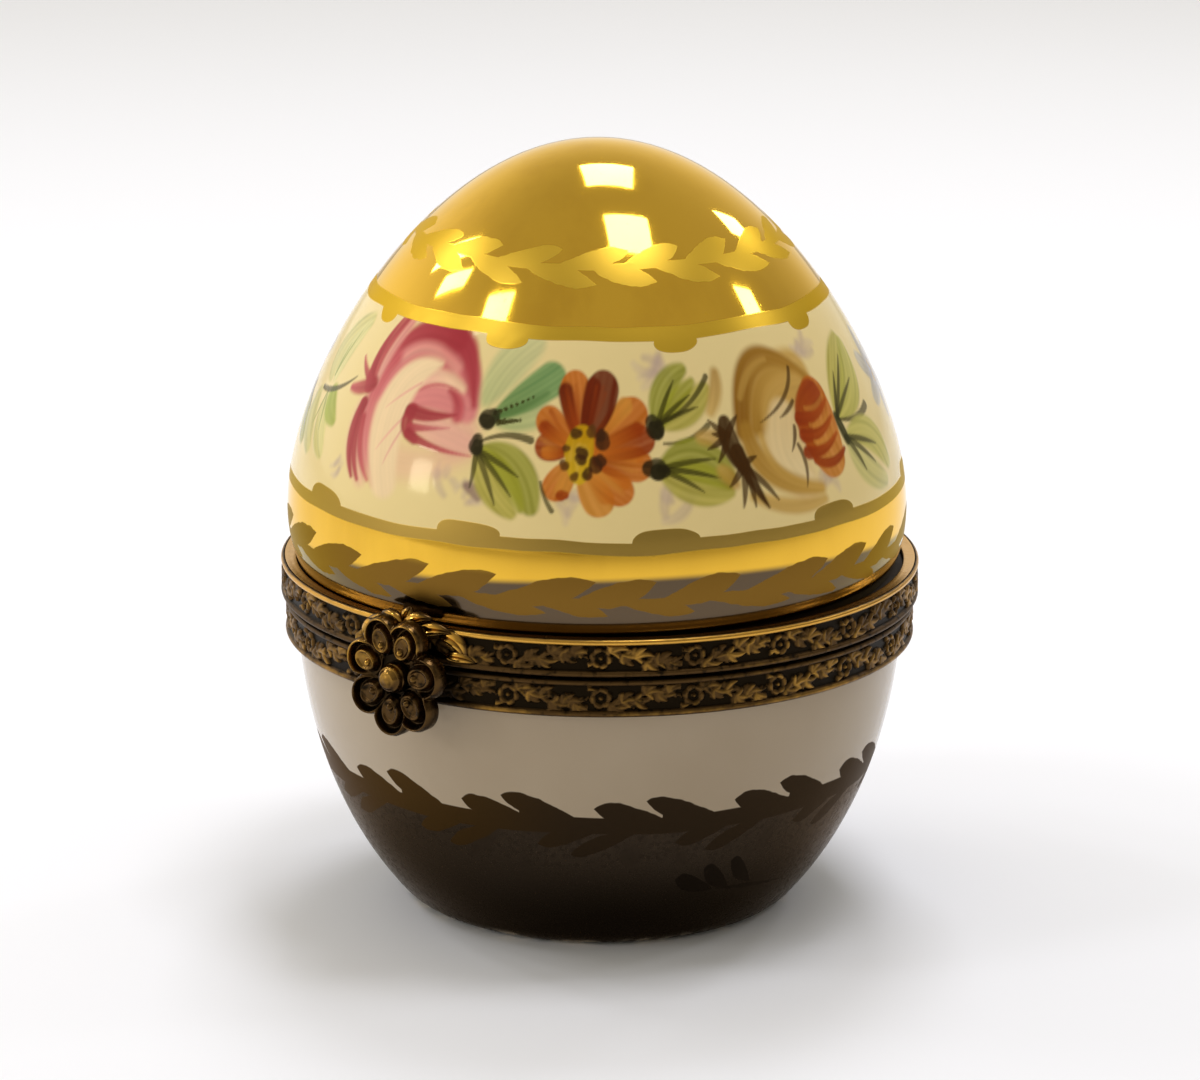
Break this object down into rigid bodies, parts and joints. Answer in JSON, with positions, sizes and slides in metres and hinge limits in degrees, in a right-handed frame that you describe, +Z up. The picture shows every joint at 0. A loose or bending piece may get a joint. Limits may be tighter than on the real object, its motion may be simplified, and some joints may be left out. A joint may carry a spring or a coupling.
{
  "type": "porcelain egg box",
  "caption": "Egg-shaped porcelain trinket box with a domed lid and cup base in embossed brass rims, a barrel hinge at the back and a flower clasp at the front.",
  "frame": {"origin": "middle of the flat foot, on the surface the box stands on", "axes": "+Z up, the clasp faces -Y, the hinge is at +Y with its pin along X"},
  "size_m": [0.0582, 0.0642, 0.07],
  "materials": {
    "gilded_porcelain": "burnished gilding over ivory glaze",
    "white_porcelain": "gloss ivory glaze with gilding",
    "aged_brass": "antique patina with worn high points",
    "bright_brass": "satin",
    "setting_cement": "matt"
  },
  "bodies": {
    "base": {"base_shell": "white_porcelain", "base_cement": "setting_cement", "base_rim": "aged_brass", "base_liner": "bright_brass", "base_hinge_leaf": "aged_brass", "base_knuckle_left": "aged_brass", "base_knuckle_middle": "aged_brass", "base_knuckle_right": "aged_brass", "hinge_pin": "aged_brass", "catch_stud": "bright_brass"},
    "lid": {"lid_shell": "gilded_porcelain", "lid_cement": "setting_cement", "lid_rim": "aged_brass", "lid_liner": "bright_brass", "lid_hinge_leaf": "aged_brass", "lid_knuckle_left": "aged_brass", "lid_knuckle_right": "aged_brass", "clasp_bracket": "aged_brass", "clasp_flower": "aged_brass", "clasp_tongue": "bright_brass", "clasp_rivet": "bright_brass"}
  },
  "joints": [
    {"name": "lid_hinge", "type": "hinge", "parent": "base", "child": "lid", "pos_m": [0, 0.03039, 0.0284], "axis": [-1, 0, 0], "range_deg": [0, 100]}
  ]
}
